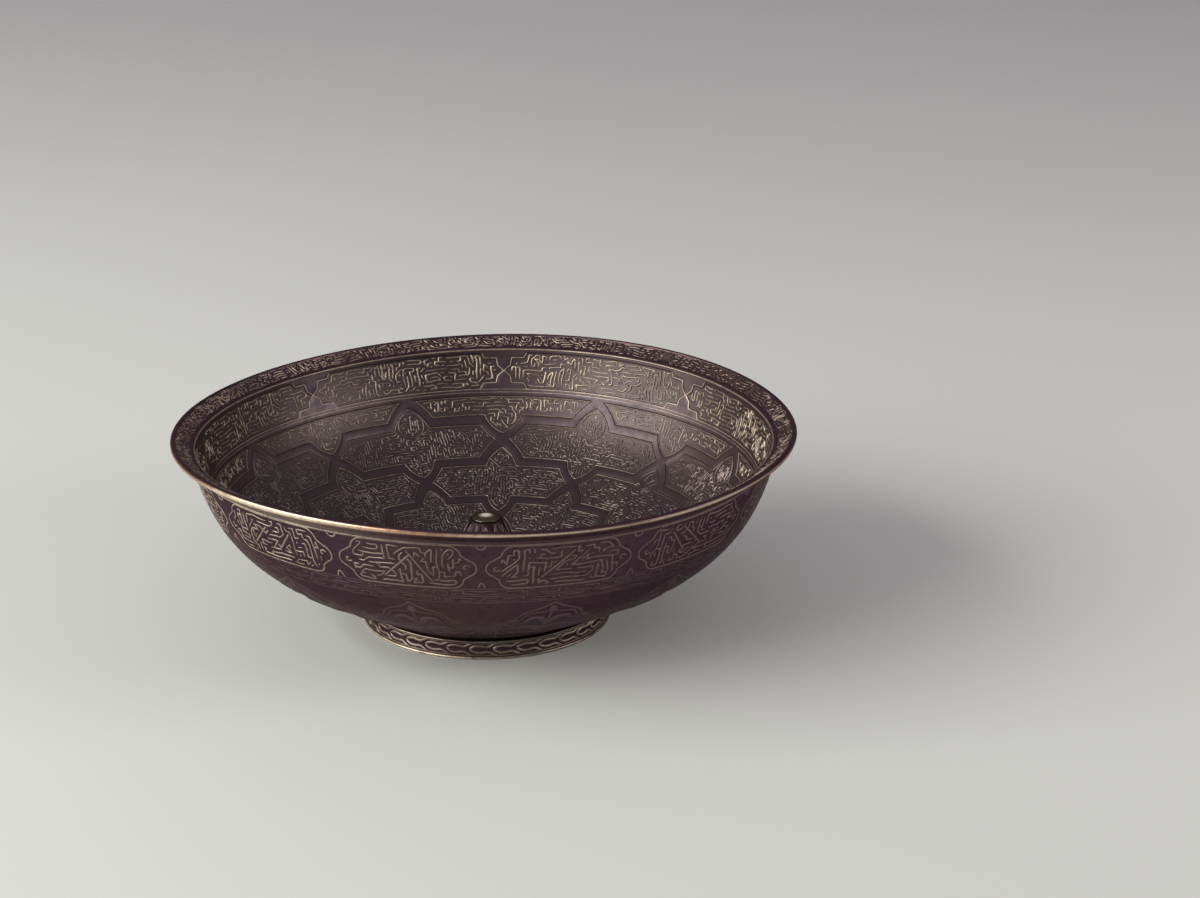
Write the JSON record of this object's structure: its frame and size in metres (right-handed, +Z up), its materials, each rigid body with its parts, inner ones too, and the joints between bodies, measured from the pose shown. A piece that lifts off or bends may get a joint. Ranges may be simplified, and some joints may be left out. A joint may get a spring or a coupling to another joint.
{
  "type": "divination bowl",
  "caption": "Round footed metal bowl with a turned-out lip, a raised boss and knob in the middle of its floor, and engraved bands and star strapwork.",
  "frame": {"origin": "on the bowl's axis, at the plane that the foot ring stands on", "axes": "+Z up along the bowl's axis, +Y away from the picture's viewer, +X to the viewer's right"},
  "size_m": [0.2, 0.2, 0.0645],
  "materials": {
    "patinated_bowl_metal": "dark brown-purple patina, semi-gloss, with pale engraved lines and a lip worn to warm metal",
    "patinated_foot_metal": "dark brown patina, semi-gloss, with an engraved chain band and worn edges",
    "patinated_boss_metal": "dark brown patina, semi-gloss, with engraved petals",
    "worn_knob_brass": "olive brass, rubbed smooth and glossy",
    "brazing_seam": "dull uneven brazing metal"
  },
  "bodies": {
    "root": {"bowl_body": "patinated_bowl_metal", "foot_ring": "patinated_foot_metal", "foot_solder_seam": "brazing_seam", "boss_dome": "patinated_boss_metal", "boss_solder_seam": "brazing_seam", "boss_knob": "worn_knob_brass", "knob_washer": "worn_knob_brass"}
  },
  "joints": []
}
